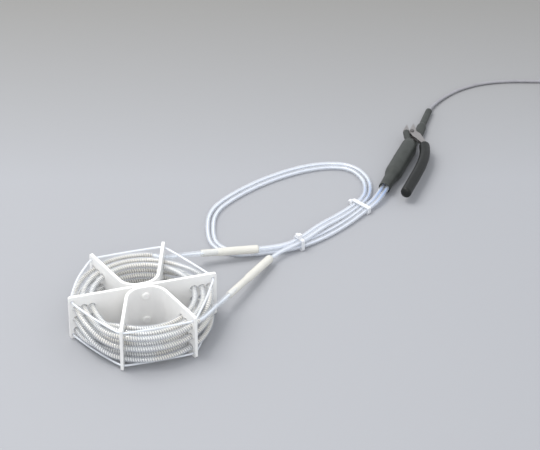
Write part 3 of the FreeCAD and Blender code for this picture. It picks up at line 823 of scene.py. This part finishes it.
class AddWinding(bpy.types.Operator):
    """Adds the wound heater tube, its conductor, its cold wires and the joint sleeves"""
    bl_idname = "heater.winding"
    bl_label = "Heater winding"

    def execute(self, context):
        s, c = sizes(), colours()
        points = heater_points()
        line = line_of(points)
        tube = spline_curve("Heater_Tube", points, s.tube / 2, around=6)
        wall = clear_wall("Heater_Tube_Wall", c.clear, 0.3, 0.04)
        place(tube, wall, "clear_tube", ROOT, "heater_tube")
        total = sum((b - a).length for a, b in zip(line, line[1:]))
        hot = part_of(line, COLD_FIRST, total - COLD_LAST)
        core = swept("Wound_Conductor", [spaced(hot, 0.004)], even(s.conductor / 2), 16)
        place(core, wound_core(c.core_dark, c.core_light), "heating_wire", ROOT, "heating_core")
        cold = [part_of(line, WIRE_SHORT, COLD_FIRST),
                part_of(line, total - COLD_LAST, total - WIRE_SHORT)]
        wires = swept("Cold_Wires", cold, even(COLD_WIRE_R), 12)
        place(wires, cold_wire("Cold_Wire", tinted(c.clear, 0.98)), "cold_wire", ROOT, "cold_wires")
        cream = cream_sleeve(c.sleeve)
        for name, (pair, radii) in SLEEVE_STEPS.items():
            straight = spaced(pair, 0.0015)
            sleeve = swept(name.title() + "_Joint_Sleeve", [straight], profile(radii), 24)
            place(sleeve, cream, "joint_sleeve", ROOT, name + "_joint_sleeve")
        return {"FINISHED"}


# the boot's (distance from its mouth, radius) steps, in millimetres
BOOT_OUTSIDE = ((0.0, 6.45), (6, 6.5), (18, 6.75), (21, 7.2), (26, 8.6), (30, 9.2), (55, 9.25),
                (82, 9.2), (85.5, 8.6), (88.5, 7.6), (90.6, 6.0), (91.8, 4.0), (92.3, 1.5))
BOOT_INSIDE = ((0.0, 5.3), (14, 5.3), (14.5, 1.0))
BOOT_SIDES = 40
# the far shoulder slants towards the clip: how much, from where, over what length, and its side shift
SLANT, SLANT_FROM, SLANT_OVER, SLANT_SIDE = 0.42, 72, 10, 4.0
NECK_R = 0.0037
RELIEF_STEPS = ((0, 3.4), (0.2, 3.9), (0.42, 5.1), (0.56, 5.2), (0.64, 3.7), (0.985, 3.6), (1, 3.3))
RELIEF_HALF_HEIGHT = 0.0043


class AddBoot(bpy.types.Operator):
    """Adds the shrunk boot with its neck, the cord relief, and finishes what they hold"""
    bl_idname = "heater.boot"
    bl_label = "Boot and relief"

    def execute(self, context):
        c = colours()
        shrink = black_shrink(c.shrink)
        bm = bmesh.new()
        right = Vector((BOOT_AXIS.y, -BOOT_AXIS.x, 0))
        rings = []
        for at, r in BOOT_INSIDE[::-1] + BOOT_OUTSIDE:
            slant = SLANT * min(max((at - SLANT_FROM) / SLANT_OVER, 0), 1)
            ring = []
            for a in (2 * math.pi * j / BOOT_SIDES for j in range(BOOT_SIDES)):
                s = at - slant * (r * math.cos(a) + SLANT_SIDE)
                ring.append(bm.verts.new(BOOT_MOUTH + (BOOT_AXIS * s + right * (r * math.cos(a))
                                                       + UP * (r * math.sin(a))) * 0.001))
            rings.append(ring)
        for a, b in zip(rings, rings[1:]):
            for j in range(BOOT_SIDES):
                after = (j + 1) % BOOT_SIDES
                bm.faces.new((a[j], a[after], b[after], b[j]))
        bm.faces.new(rings[0][::-1])
        bm.faces.new(rings[-1])
        sweep_into(bm, spaced(line_of(NECK), 0.001), even(NECK_R), 24)
        bmesh.ops.recalc_face_normals(bm, faces=bm.faces)
        mesh = bpy.data.meshes.new("Shrunk_Boot")
        bm.to_mesh(mesh)
        bm.free()
        boot = new_object("Shrunk_Boot", mesh)
        remesh = boot.modifiers.new("Flow", "REMESH")
        remesh.mode = "VOXEL"
        remesh.voxel_size = 0.00045
        smooth = boot.modifiers.new("Soft", "SMOOTH")
        smooth.iterations = 6
        smooth.factor = 0.5
        apply_modifiers(boot)
        boot.data.polygons.foreach_set("use_smooth", [True] * len(boot.data.polygons))
        place(boot, shrink, "black_shrink", ROOT, "boot")

        line = spaced(line_of(RELIEF), 0.001)
        radius = profile(RELIEF_STEPS)

        def flattened(t):
            return radius(t)[0], min(radius(t)[0], RELIEF_HALF_HEIGHT)

        relief = swept("Cord_Relief", [line], flattened, 24)
        place(relief, shrink, "black_shrink", ROOT, "cord_relief")
        paint("wire_splices", clip_steel("Splice_Tin", linear(200, 196, 186), 0.35))
        paint("splice_wires", cold_wire("Splice_Wire", c.strong))
        nylon = tie_nylon(c.tie)
        for node in ("boot_tie", "loop_tie", "coil_tie"):
            paint(node, nylon)
        return {"FINISHED"}


GRIP_LENGTH, GRIP_CAP = 0.088, 0.0034       # the grip's length, and that of its rounded ends
GRIP_HALF_WIDTH, GRIP_HALF_HEIGHT = 0.0057, 0.0063


class AddClip(bpy.types.Operator):
    """Finishes the spring clip and adds its dipped grip"""
    bl_idname = "heater.clip"
    bl_label = "Spring clip"

    def execute(self, context):
        c = colours()
        steel = clip_steel("Clip_Steel", c.steel)
        for node in ("clip_fixed_half", "clip_lever_half"):
            paint(node, steel)
            soften(node, 0.00015)
        paint("clip_pin", clip_steel("Pin_Steel", tinted(c.steel, 0.45), 0.38))
        paint("clip_spring", clip_steel("Spring_Steel", tinted(c.steel, 0.7), 0.25))

        def size(t):
            end = min(t, 1 - t) * GRIP_LENGTH / GRIP_CAP
            round_off = math.sqrt(max(0.02, 1 - (1 - min(end, 1)) ** 2))
            return GRIP_HALF_WIDTH * round_off, GRIP_HALF_HEIGHT * round_off

        line = line_of(GRIP)
        first = (line[0] - line[1]).normalized() * GRIP_CAP
        last = (line[-1] - line[-2]).normalized() * GRIP_CAP
        line = [line[0] + first] + line + [line[-1] + last]
        grip = swept("Clip_Grip", [spaced(line, 0.0006)], size, 32)
        place(grip, black_vinyl(c.grip), "black_vinyl", LEVER, "clip_grip")
        return {"FINISHED"}


class AddPlug(bpy.types.Operator):
    """Finishes the mains plug"""
    bl_idname = "heater.plug"
    bl_label = "Mains plug"

    def execute(self, context):
        paint("plug_body", grey_jacket("Plug_Moulding", tinted(colours().cord, 0.9)))
        paint("plug_blades", clip_steel("Blade_Brass", linear(212, 190, 130), 0.24))
        soften("plug_blades", 0.0002)
        return {"FINISHED"}


class HeaterPanel(bpy.types.Panel):
    """The pieces, in the order they are made"""
    bl_idname = "VIEW3D_PT_coil_heater"
    bl_label = "Coil heater"
    bl_space_type = "VIEW_3D"
    bl_region_type = "UI"
    bl_category = "Coil heater"

    def draw(self, context):
        for op in PIECES:
            self.layout.operator(op.bl_idname)
        for group in (sizes(), colours(), context.scene.heater_studio):
            column = self.layout.column(align=True)
            for key in group.bl_rna.properties.keys():
                if key not in ("rna_type", "name"):
                    column.prop(group, key)


PIECES = (AddStage, AddCords, AddFrame, AddWinding, AddBoot, AddClip, AddPlug)
CLASSES = (HeaterSizes, HeaterColours, StudioSettings) + PIECES + (HeaterPanel,)


def register():
    for cls in CLASSES:
        bpy.utils.register_class(cls)
    bpy.types.Scene.heater_sizes = bpy.props.PointerProperty(type=HeaterSizes)
    bpy.types.Scene.heater_colours = bpy.props.PointerProperty(type=HeaterColours)
    bpy.types.Scene.heater_studio = bpy.props.PointerProperty(type=StudioSettings)


def unregister():
    del bpy.types.Scene.heater_studio
    del bpy.types.Scene.heater_colours
    del bpy.types.Scene.heater_sizes
    for cls in reversed(CLASSES):
        bpy.utils.unregister_class(cls)


def main():
    """Registers the add-on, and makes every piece."""
    register()
    for op in PIECES:
        group, name = op.bl_idname.split(".")
        getattr(getattr(bpy.ops, group), name)()
    bpy.context.view_layer.update()


if __name__ == "__main__":
    main()
